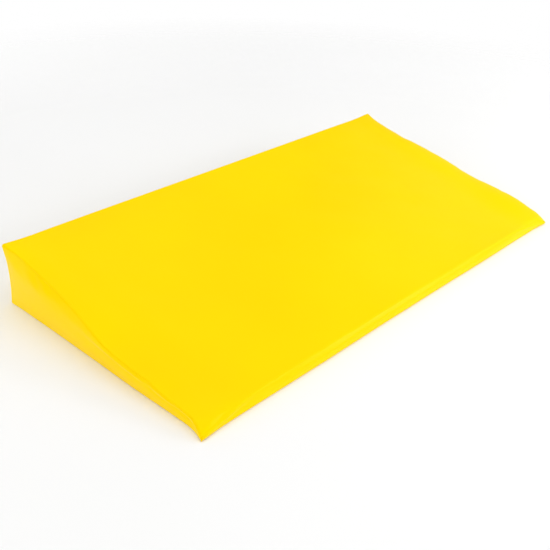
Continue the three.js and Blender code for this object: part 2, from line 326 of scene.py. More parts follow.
VINYL = vinyl_material()
NON_SLIP = non_slip_material()
SOFT_FOAM = foam_material("soft_foam", srgb(221, 205, 160), srgb(245, 236, 205), 1.1)
FIRM_FOAM = foam_material("firm_foam", srgb(196, 198, 196), srgb(226, 227, 225), 0.6)
TAPE_CLOTH = cloth_tape_material("zip_tape_cloth", srgb(226, 186, 6), srgb(250, 214, 16), 0.8)
WEBBING = cloth_tape_material("webbing_cloth", srgb(16, 16, 17), srgb(38, 38, 41), 1.3)
YELLOW_THREAD = thread_material("yellow_thread", srgb(255, 226, 40))
BLACK_THREAD = thread_material("black_thread", srgb(38, 38, 40))
COIL = coil_material()
ZIP_METAL = metal_material("zip_metal", srgb(190, 189, 186), srgb(232, 231, 228), 0.26, 0.42)
BRASS = metal_material("vent_brass", srgb(206, 166, 86), srgb(244, 208, 128), 0.22, 0.4)
LABEL = label_material()

# ---------- mesh helpers


def new_object(name, points, faces, material, smooth=True):
    mesh = bpy.data.meshes.new(name)
    mesh.from_pydata([tuple(p) for p in points], [], [tuple(int(i) for i in f) for f in faces])
    mesh.materials.append(material)
    mesh.shade_smooth() if smooth else mesh.shade_flat()
    mesh.update()
    return link_object(name, mesh)


def edit_mesh(piece, *steps):
    """Runs editing steps on the piece's mesh, each a function of its bmesh."""
    mesh = bmesh.new()
    mesh.from_mesh(piece.data)
    for step in steps:
        step(mesh)
    mesh.to_mesh(piece.data)
    mesh.free()


def turn_outwards(mesh):
    bmesh.ops.recalc_face_normals(mesh, faces=mesh.faces[:])


def round_edges(piece, width, harden=False):
    configure(piece.modifiers.new("rounding", "BEVEL"),
              width=width, segments=2, limit_method="ANGLE", harden_normals=harden)


def thicken(piece, thickness):
    """Gives a single layer of cloth its thickness, inwards."""
    configure(piece.modifiers.new("cloth", "SOLIDIFY"), thickness=thickness, offset=-1)


def finish_piece(piece, slot, *nodes, body="mat"):
    """Attaches a piece to the body it rides on and hides the CAD nodes that it stands for; the slot argument
    is not used.
    """
    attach(piece, body)
    if nodes:
        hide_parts(*nodes)


X, Y, Z = (Vector(row) for row in Matrix.Identity(3))


def ellipse(middle, first, second, sides):
    """Points round an ellipse that has two given half-axes."""
    turns = [2 * math.pi * k / sides for k in range(sides)]
    return [middle + first * math.cos(turn) + second * math.sin(turn) for turn in turns]


CORNERS = ((1, 1), (-1, 1), (-1, -1), (1, -1))


def rounded_outline(half_length, half_width, corner, steps=5):
    """A rectangle with round corners, as offsets from its middle."""
    outline = []
    for k, (sx, sz) in enumerate(CORNERS):
        for i in range(steps + 1):
            angle = math.pi / 2 * (k + i / steps)
            outline.append((sx * (half_length - corner) + corner * math.cos(angle),
                            sz * (half_width - corner) + corner * math.sin(angle)))
    return outline


def sleeve(inner, outer, start, end):
    """The (radius, along) profile of a plain sleeve."""
    return [(inner, start), (outer, start), (outer, end), (inner, end)]


class Shape:
    """Points and faces, gathered from simple solids."""

    def __init__(self):
        self.points = []
        self.faces = []

    def tube(self, rings, start_cap=True, closed=False):
        """Joins each ring of points to the next; a closed tube's last joins its first, others are capped."""
        count = len(rings[0])
        starts = [len(self.points) + i * count for i in range(len(rings))]
        for ring in rings:
            self.points.extend(ring)
        if closed:
            starts.append(starts[0])
        else:
            self.faces.append(range(starts[-1], starts[-1] + count))
        if start_cap and not closed:
            self.faces.append(range(starts[0], starts[0] + count)[::-1])
        for here, there in zip(starts, starts[1:]):
            for k in range(count):
                after = (k + 1) % count
                self.faces.append((here + k, here + after, there + after, there + k))

    def prism(self, outline, middle, low, high):
        """The solid between two copies, at y = low and y = high, of an outline round an (x, z) middle."""
        self.tube([[(middle[0] + x, y, middle[1] + z) for x, z in outline] for y in (low, high)])

    def lathe(self, profile, centre, axis, first, sides):
        """A ring turned from a closed (radius, along) profile; its points start in the first direction."""
        self.tube([ellipse(centre + axis * along, first * radius, Z * radius, sides)
                   for radius, along in profile], closed=True)

    def solid(self, name, material, smooth=True):
        made = new_object(name, self.points, self.faces, material, smooth)
        edit_mesh(made, turn_outwards)
        return made


def smoothstep(value, low, high):
    t = np.clip((value - low) / (high - low), 0, 1)
    return t * t * (3 - 2 * t)


def stacked(*values):
    """Rows of coordinates from a value or an array for each axis."""
    return np.stack(np.broadcast_arrays(*values), axis=-1)


def fade(value, low, high):
    """One up to the low value, falling smoothly to nought at the high one."""
    return 1 - smoothstep(value, low, high)


def bump(value, centre, spread):
    return np.exp(-((value - centre) / spread) ** 2)


# ---------- the cover's pattern

EDGE_ROUND = 4 * MM        # how far the foam's edges are rounded by the cover
CORNER_ROUND = 6 * MM      # the same, along the two long rear edges
NOSE_FOOT = 6 * MM         # the radius at the foot of the nose, which stands nearly upright above it
BASE_Z = 0.8 * MM          # the base cloth stands on its grip dots
ACROSS = 90                # puts a column at each vent
SLOPE_STEPS = 52
ARC_STEPS = 3
ZIP_BELOW_STEPS = 3
ZIP_ABOVE_STEPS = 10       # puts a row at the vents' height
RING_STEPS = 4
SEAM_RING = RING_STEPS // 2
SLOT_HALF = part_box("zip_tab_right")[0].x + 24 * MM  # the zip's slot ends under the end tabs
FOOT_STEPS = 4
FRONT_STEPS = 3
SLOT_STEP = ARC_STEPS + ZIP_BELOW_STEPS
UP_STEPS = SLOT_STEP + 1 + ZIP_ABOVE_STEPS + ARC_STEPS
QUARTER = math.pi / 2
SLOPE_REACH = Vector((DEPTH - NOSE_RADIUS, HEIGHT - NOSE_RADIUS))
# the direction of the slope's outward normal, in the side view's (y, z) plane
SLOPE_ANGLE = math.atan2(SLOPE_REACH.y, SLOPE_REACH.x) + math.acos(NOSE_RADIUS / SLOPE_REACH.length)
SLOPE_NORMAL = np.array([math.cos(SLOPE_ANGLE), math.sin(SLOPE_ANGLE)])


def arc(centre, radius, start, end, steps):
    """Points and outward normals along an arc."""
    angle = np.linspace(start, end, steps + 1)
    normals = stacked(np.cos(angle), np.sin(angle))
    return centre + radius * normals, normals


def mixed(start, end, share):
    return np.asarray(start) * (1 - share) + np.asarray(end) * share


def line(start, end, normal, steps):
    """Points and outward normals along a straight line."""
    points = mixed(start, end, np.linspace(0, 1, steps + 1)[:, None])
    return points, np.broadcast_to(np.asarray(normal, float), points.shape)


def join(*chains):
    """Chains that meet end to end, as one, without the doubled points."""
    points, normals = ([part[0]] + [p[1:] for p in part[1:]] for part in zip(*chains))
    return np.concatenate(points), np.concatenate(normals)


def wedge_outline():
    """The side outline as four chains of points and outward normals: the base from nose to rear, the rear
    going up, the slope from nose to rear, and the nose going up. Each seam is at the end of a chain."""
    low = np.array([REAR - CORNER_ROUND, BASE_Z + CORNER_ROUND])
    lean, upright = SLOPE_NORMAL
    top = np.array([low[0], HEIGHT + CORNER_ROUND * ((1 - lean) * lean / upright - upright)])
    nose = np.array([FRONT + NOSE_RADIUS, BASE_Z + NOSE_RADIUS])
    foot = np.array([FRONT + NOSE_FOOT, BASE_Z + NOSE_FOOT])
    below, above = -QUARTER / 2, SLOPE_ANGLE / 2
    base = join(
        line((foot[0], BASE_Z), (low[0], BASE_Z), (0, -1), SLOPE_STEPS - ARC_STEPS),
        arc(low, CORNER_ROUND, -QUARTER, below, ARC_STEPS))
    rear = join(
        arc(low, CORNER_ROUND, below, 0, ARC_STEPS),
        line((REAR, low[1]), (REAR, SLOT_LOW), (1, 0), ZIP_BELOW_STEPS),
        line((REAR, SLOT_LOW), (REAR, SLOT_HIGH), (1, 0), 1),
        line((REAR, SLOT_HIGH), (REAR, top[1]), (1, 0), ZIP_ABOVE_STEPS),
        arc(top, CORNER_ROUND, 0, above, ARC_STEPS))
    slope = join(
        line(nose + NOSE_RADIUS * SLOPE_NORMAL, top + CORNER_ROUND * SLOPE_NORMAL, SLOPE_NORMAL,
             SLOPE_STEPS - ARC_STEPS),
        arc(top, CORNER_ROUND, SLOPE_ANGLE, above, ARC_STEPS))
    front = join(
        arc(foot, NOSE_FOOT, -QUARTER, -2 * QUARTER, FOOT_STEPS),
        line((FRONT, foot[1]), (FRONT, nose[1]), (-1, 0), FRONT_STEPS),
        arc(nose, NOSE_RADIUS, -2 * QUARTER, SLOPE_ANGLE - 4 * QUARTER, UP_STEPS - FOOT_STEPS - FRONT_STEPS))
    return base, rear, slope, front


class Cover:
    """The closed cover as quads: columns of outline points across the width, and a grid on each side."""

    def __init__(self):
        base, rear, slope, front = wedge_outline()
        outline, normals = (
            np.concatenate([base[k][:-1], rear[k][:-1], slope[k][:0:-1], front[k][:0:-1]]) for k in (0, 1))
        self.around = len(outline)
        ring = np.linspace(0, QUARTER, RING_STEPS + 1)
        ring_x = HALF_WIDTH - EDGE_ROUND * (1 - np.sin(ring))
        ring_inset = EDGE_ROUND * (1 - np.cos(ring))
        middle = np.linspace(-ring_x[0], ring_x[0], ACROSS + 1)
        self.column_x = np.concatenate([-ring_x[:0:-1], middle, ring_x[1:]])
        inset = np.concatenate([ring_inset[:0:-1], np.zeros(ACROSS + 1), ring_inset[1:]])
        self.columns = len(self.column_x)
        profile = outline[None] - normals[None] * inset[:, None, None]
        self.points = stacked(self.column_x[:, None], profile[..., 0], profile[..., 1]).reshape(-1, 3)
        self.faces = []
        self.panels = []
        self.add_shell_faces()
        self.add_side(0, "left")
        self.add_side(self.columns - 1, "right")

    def at(self, column, step):
        return column * self.around + step % self.around

    def shell_panel(self, column, step):
        """The panel that the shell's face at a column and an outline step belongs to."""
        outside = RING_STEPS if step < SLOPE_STEPS else RING_STEPS - SEAM_RING
        if column < outside:
            return "left"
        if column >= self.columns - 1 - outside:
            return "right"
        if step < SLOPE_STEPS:
            return "base"
        up = step - SLOPE_STEPS
        if up >= UP_STEPS:
            return "top"
        if up < SLOT_STEP:
            return "rear_lower"
        x = (self.column_x[column] + self.column_x[column + 1]) / 2
        return "slot" if up == SLOT_STEP and abs(x) < SLOT_HALF else "rear_upper"

    def add_shell_faces(self):
        for column in range(self.columns - 1):
            for step in range(self.around):
                self.faces.append((self.at(column, step), self.at(column, step + 1),
                                   self.at(column + 1, step + 1), self.at(column + 1, step)))
                self.panels.append(self.shell_panel(column, step))

    def add_side(self, column, panel):
        """Fills the outline at the first or last column with a grid drawn between its four chains."""
        n, m = SLOPE_STEPS, UP_STEPS
        edge = np.array([self.at(column, i) for i in range(self.around)])
        grid = np.zeros((n + 1, m + 1), int)
        grid[:, 0] = edge[:n + 1]
        grid[n, :] = edge[n:n + m + 1]
        grid[:, m] = edge[n + m:2 * n + m + 1][::-1]
        grid[0, :] = np.append(edge[2 * n + m:], edge[0])[::-1]
        shell = self.points
        u = np.linspace(0, 1, n + 1)[1:-1, None, None]
        v = np.linspace(0, 1, m + 1)[None, 1:-1, None]
        low, high = shell[grid[1:-1, 0]][:, None], shell[grid[1:-1, m]][:, None]
        front, rear = shell[grid[0, 1:-1]][None], shell[grid[n, 1:-1]][None]
        corners = mixed(mixed(*shell[grid[0, [0, m]]], v), mixed(*shell[grid[n, [0, m]]], v), u)
        inner = mixed(low, high, v) + mixed(front, rear, u) - corners
        grid[1:-1, 1:-1] = len(shell) + np.arange((n - 1) * (m - 1)).reshape(n - 1, m - 1)
        self.points = np.concatenate([shell, inner.reshape(-1, 3)])
        for i in range(n):
            for j in range(m):
                face = (grid[i, j], grid[i + 1, j], grid[i + 1, j + 1], grid[i, j + 1])
                self.faces.append(face[::-1] if panel == "left" else face)
                self.panels.append(panel)


class Place:
    """Where points of the cover are, in the terms that its shape is described in."""

    def __init__(self, points):
        self.x, self.y, self.z = points.T
        self.side = np.sign(self.x)
        self.from_end = HALF_WIDTH - np.abs(self.x)
        self.from_front = self.y - FRONT
        self.from_rear = REAR - self.y
        self.along = np.clip(self.from_front / DEPTH, 0, 1)
        self.roof = 2 * NOSE_RADIUS + self.along * (HEIGHT - 2 * NOSE_RADIUS)
        self.up = np.clip(self.z / self.roof, 0, 1)


# ---------- stuffing the cover

SIM_FRAMES = 20
CLOTH_SETTINGS = dict(
    quality=5, mass=0.1, air_damping=5, tension_stiffness=40, compression_stiffness=40, shear_stiffness=20,
    bending_stiffness=2, use_pressure=True, uniform_pressure_force=0.6, vertex_group_mass="floor")
PILLOW_LIMIT = 9 * MM      # the furthest the stuffing moves any point of the cover
SLOPE_SHARE = 0.12         # how much of the simulated movement each part of the cover keeps
SEAM_SHARE = 0.5
SIDE_SHARE = 0.9
NOSE_SHARE = 0.9


def stuffed(points, faces):
    """Blows the closed cover up with Blender's cloth, its base held down; returns each point's movement."""
    body = new_object("cover_pattern", points, faces, VINYL)
    on_floor = np.flatnonzero(points[:, 2] < BASE_Z + 0.5 * MM)
    body.vertex_groups.new(name="floor").add([int(i) for i in on_floor], 1.0, "REPLACE")
    cloth = body.modifiers.new("cloth", "CLOTH")
    cloth.collision_settings.use_collision = False
    configure(cloth.point_cache, frame_start=1, frame_end=SIM_FRAMES)
    configure(cloth.settings, **CLOTH_SETTINGS)
    cloth.settings.effector_weights.gravity = 0
    for frame_number in range(1, SIM_FRAMES + 1):
        scene.frame_set(frame_number)
    result = body.evaluated_get(bpy.context.evaluated_depsgraph_get())
    moved = np.empty(len(points) * 3)
    result.data.vertices.foreach_get("co", moved)
    bpy.data.objects.remove(body)
    scene.frame_set(1)
    return moved.reshape(-1, 3) - points


def tamed(points, moved):
    """The stuffing's movement, held back where the firm foam keeps the slope flat, limited everywhere, and
    faded out on the floor and where the zip, handle and vents are fixed."""
    at = Place(points)
    on_slope = SLOPE_SHARE + (SEAM_SHARE - SLOPE_SHARE) * fade(at.from_end, 6 * MM, 70 * MM)
    share = on_slope + (SIDE_SHARE - SEAM_SHARE) * fade(at.from_end, 0, 6 * MM)
    share = np.maximum(share, NOSE_SHARE * fade(at.from_front, 0, 30 * MM))
    moved = moved * share[:, None]
    length = np.linalg.norm(moved, axis=1, keepdims=True) + 1e-9
    moved = moved * (PILLOW_LIMIT * np.tanh(length / PILLOW_LIMIT) / length)
    off_floor = smoothstep(at.z, BASE_Z, 14 * MM)
    off_rear = smoothstep(at.from_rear, 6 * MM, 22 * MM)
    near_end = fade(at.from_end, 4 * MM, 14 * MM)
    return moved * (off_floor * np.maximum(off_rear, near_end))[:, None]


# ---------- the shape that sewing and use give it

# the corners, where three seams meet, stand out: y, z, reach and movement outwards, back and up
EARS = (
    (REAR, HEIGHT, 32 * MM, (8 * MM, 2 * MM, 5 * MM)),
    (REAR, 0, 22 * MM, (2 * MM, 1 * MM, 0)),
    (FRONT, NOSE_RADIUS, 20 * MM, (14 * MM, -4 * MM, 0)),
)
# where each side's top seam wanders: place along it from nose to rear, spread, movement outwards and upwards
SEAM_DRIFT = {
    -1: ((0.41, 0.19, 11 * MM, -15 * MM), (0.15, 0.1, 4 * MM, -5 * MM), (0.78, 0.15, 0, -4 * MM)),
    1: ((0.58, 0.24, 2 * MM, 8 * MM), (0.17, 0.14, 4 * MM, 11 * MM)),
}
# the same for the edge on the floor: place along it, spread and movement outwards
FLOOR_DRIFT = (0.33, 0.2, 2 * MM)
REAR_CROWN = 3.5 * MM
RIM_PRESS = 0.7            # how far the seams round the base are pressed down, as a share of their height
NOSE_PINCH = 0.12          # how much lower the nose is at its ends, as a share of its height
NOSE_SET_BACK = 1.5 * MM   # how far the middle of the nose stands back
NOSE_TIP_HEIGHT = 6 * MM   # the nose's two corners are pinched to a point at this height
NOSE_TIP_REACH = 11 * MM
WAVE_HEIGHT = 0.45 * MM
PUCKER_HEIGHT = 0.7 * MM
PUCKER_PITCH = 29 * MM
PUCKER_CLUSTER = 113 * MM
PUCKER_REACH = 13 * MM


def corner_ears(points):
    moved = np.zeros_like(points)
    for side in (-1, 1):
        for y, z, reach, (out, back, up) in EARS:
            corner = np.array([side * HALF_WIDTH, y, z])
            near = np.exp(-(np.linalg.norm(points - corner, axis=1) / reach) ** 1.5)[:, None]
            moved += near * np.array([side * out, back, up])
    return moved


def shaped(points):
    """The wandering seams, the pressed rim and the pinched nose, as movements on top of the stuffing."""
    at = Place(points)
    at_end = fade(at.from_end, 0, 16 * MM)
    near_end = fade(at.from_end, 0, 110 * MM)
    top = smoothstep(at.up, 0.5, 0.95)
    bottom = fade(at.up, 0.05, 0.6)
    moved = np.zeros_like(points)
    for side, drifts in SEAM_DRIFT.items():
        for place, spread, outwards, upwards in drifts:
            here = (at.side == side) * top * bump(at.along, place, spread)
            moved[:, 0] += here * at_end * side * outwards
            moved[:, 2] += here * near_end * upwards
    place, spread, outwards = FLOOR_DRIFT
    moved[:, 0] += at.side * at_end * bottom * bump(at.along, place, spread) * outwards
    # the rear edge is crowned between its ears
    moved[:, 2] += REAR_CROWN * bump(at.along, 1, 0.2) * top * (1 - (at.x / HALF_WIDTH) ** 12)
    # the seams round the base are pressed flat on the floor
    from_rim = np.minimum(at.from_end, np.minimum(at.from_front, at.from_rear))
    moved[:, 2] -= RIM_PRESS * at.z * fade(from_rim, 8 * MM, 25 * MM) * fade(at.z, 2 * MM, 12 * MM)
    # the nose is full in the middle and pinched at its two corners
    nose = fade(at.from_front, 8 * MM, 70 * MM)
    moved[:, 2] -= nose * near_end ** 2 * NOSE_PINCH * np.maximum(at.z - BASE_Z, 0)
    moved[:, 1] += nose * bump(at.x, 0, 0.2) * NOSE_SET_BACK
    to_tip = NOSE_TIP_HEIGHT - at.z
    pull = bump(np.hypot(at.from_end, at.from_front), 0, NOSE_TIP_REACH) * np.where(to_tip < 0, 0.85, 0.3)
    moved[:, 2] += pull * to_tip
    return moved


def outward_normals(points, faces):
    """The average outward normal at each point of the closed cover."""
    faces = np.array(faces)
    corners = points[faces]
    face_normals = np.cross(corners[:, 2] - corners[:, 0], corners[:, 3] - corners[:, 1])
    normals = np.zeros_like(points)
    for k in range(4):
        np.add.at(normals, faces[:, k], face_normals)
    return normals / (np.linalg.norm(normals, axis=1, keepdims=True) + 1e-12)


def unevenness(points):
    """Slow waves over the cover and short puckers along its seams, as heights along the normal."""
    at = Place(points)
    x, y, z = at.x, at.y, at.z
    waves = (np.sin(x * 21 + 1.3 * np.sin(y * 17)) * np.sin(y * 19 + z * 23 + 0.7)
             + 0.6 * np.sin(x * 47 + 2.1) * np.sin(y * 41 + z * 37 + 1.9))
    seam = bump(at.from_end, 0, PUCKER_REACH) * bump(np.maximum(at.roof - z, 0), 0, PUCKER_REACH)
    turn = 2 * math.pi * y
    pucker = np.sin(turn / PUCKER_PITCH + 2 * np.sin(y * 37)) * np.sin(turn / PUCKER_CLUSTER + 1)
    fixed = fade(at.from_rear, 4 * MM, 14 * MM) * smoothstep(at.from_end, 4 * MM, 14 * MM)
    floor = fade(z, BASE_Z, 8 * MM)
    return (waves * WAVE_HEIGHT + seam * pucker * PUCKER_HEIGHT) * (1 - fixed) * (1 - floor)


# ---------- the cover's panels

GROOVE = 0.35 * MM         # how deep the seams sit below the cover
ALLOWANCE = 6 * MM         # cloth turned in at each seam
CLOTH = 0.9 * MM
SEAM_CREASE = 0.8
NOSE_WRAP = 40 * MM        # the top panel's length round the nose, with its seam allowances
SIDE_AREA = 0.056
VENT_HOLE = 6.2 * MM
HANDLE_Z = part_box("handle_patch_left")[0].z + 24 * MM
VENT_X = middle_of("vent_eyelet_right").x
SEWN_WIDTH = 2 * HALF_WIDTH + 2 * ALLOWANCE
SEWN_DEPTH = DEPTH + 2 * ALLOWANCE
SEWN_HEIGHT = HEIGHT + 2 * ALLOWANCE
# each panel's CAD node, its flat width and length, and its area when it isn't a rectangle
PANELS = {
    "top": ("top_panel", SEWN_WIDTH, math.hypot(DEPTH, HEIGHT) + NOSE_WRAP, None),
    "base": ("base_panel", SEWN_WIDTH, SEWN_DEPTH, None),
    "left": ("left_side_panel", SEWN_DEPTH, SEWN_HEIGHT, SIDE_AREA),
    "right": ("right_side_panel", SEWN_DEPTH, SEWN_HEIGHT, SIDE_AREA),
    "rear_lower": ("rear_panel_lower", SEWN_WIDTH, SLOT_LOW + ALLOWANCE, None),
    "rear_upper": ("rear_panel_upper", SEWN_WIDTH, HEIGHT - SLOT_HIGH + ALLOWANCE, None),
}


def edges(face):
    return zip(face, face[1:] + face[:1])


def edge_panels(faces, panels):
    """For each edge, the panels of the faces beside it."""
    beside = {}
    for face, panel in zip(faces, panels):
        for a, b in edges(face):
            beside.setdefault((min(a, b), max(a, b)), []).append(panel)
    return beside


def is_sewn(names):
    """Whether the panels beside an edge are sewn to each other there."""
    return len(set(names)) > 1 and "slot" not in names


def cut_vent(points, faces, x, z):
    """The rear panel's faces with a round hole at (x, z): four faces become a ring of eight."""
    centre = int(np.argmin(np.linalg.norm(points - (x, REAR, z), axis=1)))
    around = {i for face in faces if centre in face for i in face} - {centre}
    angle = {i: math.atan2(points[i][2] - z, points[i][0] - x) for i in around}
    outer = sorted(around, key=lambda i: -angle[i])
    ring = [(x + VENT_HOLE * math.cos(angle[i]), REAR, z + VENT_HOLE * math.sin(angle[i])) for i in outer]
    kept = [face for face in faces if centre not in face]
    start = len(points)
    for k, corner in enumerate(outer):
        after = (k + 1) % len(outer)
        kept.append((corner, outer[after], start + after, start + k))
    return np.concatenate([points, ring]), kept


def panel_piece(panel, points, normals, faces, beside):
    """One panel of the cover. An allowance is turned in along every sewn edge, with a nearly sharp fold, so
    that neighbouring panels meet in a fine line."""
    sewn = [(a, b) for face in faces for a, b in edges(face)
            if is_sewn(beside.get((min(a, b), max(a, b)), []))]
    rim = list(dict.fromkeys(i for edge in sewn for i in edge))
    turned_in = {i: len(points) + k for k, i in enumerate(rim)}
    every = np.concatenate([points, points[rim] - normals[rim] * ALLOWANCE])
    faces = faces + [(b, a, turned_in[a], turned_in[b]) for a, b in sewn]
    used = sorted({i for face in faces for i in face})
    place = {old: new for new, old in enumerate(used)}
    faces = [[place[i] for i in face] for face in faces]
    piece = new_object(panel + "_skin", every[used], faces, NON_SLIP if panel == "base" else VINYL)
    folds = {(min(place[a], place[b]), max(place[a], place[b])) for a, b in sewn}
    crease = piece.data.attributes.new("crease_edge", "FLOAT", "EDGE")
    for edge in piece.data.edges:
        if edge.key in folds:
            crease.data[edge.index].value = SEAM_CREASE
    configure(piece.modifiers.new("smooth", "SUBSURF"), levels=1, render_levels=1)
    thicken(piece, CLOTH)
    return piece


def add_panels(cover, skin):
    normals = outward_normals(skin, cover.faces)
    skin = skin + normals * unevenness(cover.points)[:, None]
    beside = edge_panels(cover.faces, cover.panels)
    seam = sorted({i for edge, names in beside.items() if is_sewn(names) for i in edge})
    skin[seam] -= normals[seam] * GROOVE
    for panel, (cad_node, width, length, area) in PANELS.items():
        points = skin
        faces = [f for f, p in zip(cover.faces, cover.panels) if p == panel]
        if panel == "rear_upper":
            for x in (-VENT_X, VENT_X):
                points, faces = cut_vent(points, faces, x, HANDLE_Z)
        piece = panel_piece(panel, points, normals, faces, beside)
        finish_piece(piece, "non_slip_vinyl" if panel == "base" else "yellow_vinyl", cad_node)


DOT_PITCH = 12 * MM
DOT_RADIUS = 2.6 * MM
DOT_ROW = 0.866 * DOT_PITCH
DOT_MARGIN = 16 * MM
DOT_SIDES = 6


def add_grip_dots():
    """Low round studs under the base, in a hexagonal grid; the mat stands on them."""
    dots = Shape()
    rows = int((DEPTH - 2 * DOT_MARGIN) / DOT_ROW)
    for row in range(rows + 1):
        shift = (row % 2) * DOT_PITCH / 2
        count = int((2 * (HALF_WIDTH - DOT_MARGIN) - shift) / DOT_PITCH)
        for column in range(count + 1):
            x = -HALF_WIDTH + DOT_MARGIN + shift + column * DOT_PITCH
            y = FRONT + DOT_MARGIN + row * DOT_ROW
            dots.tube([ellipse(Vector((x, y, z)), X * radius, Y * radius, DOT_SIDES)
                       for z, radius in ((0, 0.75 * DOT_RADIUS), (BASE_Z + 0.2 * MM, DOT_RADIUS))])
    finish_piece(dots.solid("grip_dots", NON_SLIP, smooth=False), "non_slip_vinyl")


# ---------- foam

FOAM_GAP = 3.2 * MM
FOAM_REAR_GAP = 6 * MM
FIRM_LAYER = 16.3 * MM     # from the slope down to the join between the two foams
GLUE_LINE = 0.2 * MM
FOAMS = (
    ("core_foam", "foam_core", SOFT_FOAM, "soft_foam", -1),
    ("firm_foam_sheet", "foam_top_layer", FIRM_FOAM, "firm_foam", 1),
)


def add_foam(cover, body_points):
    """The foam fills the cover; its firmer top layer is parted from the core by a plane along the slope."""
    points = body_points - outward_normals(body_points, cover.faces) * FOAM_GAP
    points[:, 1] = np.minimum(points[:, 1], REAR - FOAM_REAR_GAP)
    normal = Vector((0, *SLOPE_NORMAL))
    place = Vector((0, REAR, HEIGHT)) - normal * FIRM_LAYER
    for name, cad_node, material, slot, side in FOAMS:

        def keep_one_side(mesh):
            cut = bmesh.ops.bisect_plane(
                mesh, geom=mesh.verts[:] + mesh.edges[:] + mesh.faces[:],
                plane_co=place + normal * side * GLUE_LINE / 2, plane_no=normal * side, clear_inner=True)
            rim = [e for e in cut["geom_cut"] if isinstance(e, bmesh.types.BMEdge)]
            bmesh.ops.triangle_fill(mesh, edges=rim, use_beauty=True)

        piece = new_object(name, points, cover.faces, material)
        edit_mesh(piece, keep_one_side, turn_outwards)
        finish_piece(piece, slot, cad_node)


# ---------- woven strips and stitches

END_FOLD = math.radians(70)  # edges folded more than this, round a strip's cut ends, are shaded sharp
EDGE_FULLNESS = 10         # the higher, the squarer a strip's two long edges
STITCH_SIDES = 6
STITCH_GAP = 0.08          # the space left at each end of a stitch, as a share of the pitch
# each ring of a stitch: its place along the stitch, its size and its lift from the cloth, in radii
STITCH_PROFILE = ((0, 0.25, -0.35), (0.12, 0.75, 0.25), (0.5, 1, 0.7), (0.88, 0.75, 0.25), (1, 0.25, -0.35))


def sharpen_ends(mesh):
    for edge in mesh.edges:
        edge.smooth = edge.calc_face_angle() < END_FOLD


def strip(name, centres, across, outward, widths, thickness, material, count=9):
    """A woven strip along its centres, with u along it and v across it, in metres."""
    centres = np.asarray(centres)
    across, outward = (np.broadcast_to(a, centres.shape) for a in (across, outward))
    widths = np.broadcast_to(widths, len(centres))
    lane = np.linspace(-1, 1, count)
    edge = np.sqrt(np.maximum(1 - np.abs(lane) ** EDGE_FULLNESS, 0)) * thickness / 2
    lanes = np.concatenate([lane, lane[-2:0:-1]])
    depth = np.concatenate([edge, -edge[-2:0:-1]])
    shape = Shape()
    shape.tube(centres[:, None] + across[:, None] * (lanes[None, :, None] * widths[:, None, None] / 2)
               + outward[:, None] * depth[None, :, None])
    piece = shape.solid(name, material)
    run = np.concatenate([[0], np.cumsum(np.linalg.norm(np.diff(centres, axis=0), axis=1))])
    uv = piece.data.uv_layers.new(name="UVMap")
    for loop in piece.data.loops:
        i, k = divmod(loop.vertex_index, len(lanes))
        uv.data[loop.index].uv = (run[i], lanes[k] * widths[i] / 2)
    edit_mesh(piece, sharpen_ends)
    return piece


def add_stitches(name, slot, thread, paths, pitch=4.2 * MM, radius=0.34 * MM):
    """Short bowed threads, their ends sunk into the cloth, along paths on the rear face."""
    shape = Shape()
    for path in paths:
        for start, end in zip(path, path[1:]):
            start, end = Vector(start), Vector(end)
            side = (end - start).cross(Y).normalized()
            count = max(1, round((end - start).length / pitch))
            for i in range(count):
                rings = []
                for share, size, lift in STITCH_PROFILE:
                    place = (i + STITCH_GAP + (1 - 2 * STITCH_GAP) * share) / count
                    middle = start.lerp(end, place) + Y * lift * radius
                    rings.append(ellipse(middle, side * radius * size, Y * radius * size, STITCH_SIDES))
                shape.tube(rings)
    finish_piece(shape.solid(name, thread), slot)


def rectangle(x, z, width, height, y):
    """The closed path of a rectangle on the rear face."""
    return [(x + sx * width / 2, y, z + sz * height / 2) for sx, sz in (*CORNERS, CORNERS[0])]


# ---------- zip

TAPE_THICKNESS = 0.7 * MM
TAPE_STEP = 4 * MM
TAPE_RIPPLE = 0.12 * MM
TAPE_WAVES = 95            # radians per metre
TOOTH_PITCH = 2.0 * MM
TOOTH_HALF_WIDTH = 0.425 * MM
TOOTH_HALF_DEPTH = 1.0 * MM
TOOTH_OVERLAP = 0.7 * MM
TOOTH_SIDES = 6
PLATE = 1.2 * MM           # the slider's two plates
PLATE_CORNER = 2.6 * MM
PLATE_TAPER = 0.22
PLATE_LIFT = 0.3 * MM      # between the rear face and the outer plate
# outlines of the slider's bridge and posts and the pull's hole: half length, half width, corner radius, steps
BRIDGE = (3.5 * MM, 0.45 * MM, 0.4 * MM, 2)
POST = (0.75 * MM, 1.15 * MM, 0.5 * MM, 3)
PULL_HOLE = (1.5 * MM, 4.0 * MM, 1.45 * MM, 6)
KNUCKLE = (1.2 * MM, 1.9 * MM, -3.4 * MM, 3.4 * MM)  # its bore, outer radius, start and end
POST_REACH = 4.6 * MM
PIN_RADIUS = 0.85 * MM
PIN_HALF = 4.9 * MM
PULL_LENGTH = 27.6 * MM
PULL_HALF_WIDTH = 3.9 * MM
PULL_NECK = 2.4 * MM
PULL_TOP = 1.6 * MM
PULL_HALF_THICKNESS = 0.65 * MM
PULL_STEPS = 10
HOLE_DROP = 19.5 * MM
PATCH_SURFACE = 0.82       # where a patch's outer face lies in its CAD box
PATCH_CLOTH = 0.8 * MM
TAB_CORNER, TAB_INSET = 4 * MM, 2.6 * MM    # the tabs' corner radius, and how far in their stitches run
TOPSTITCH_END = 2 * MM     # the gaps between the zip's topstitching and the tabs, and the slot
TOPSTITCH_INSET = 3 * MM


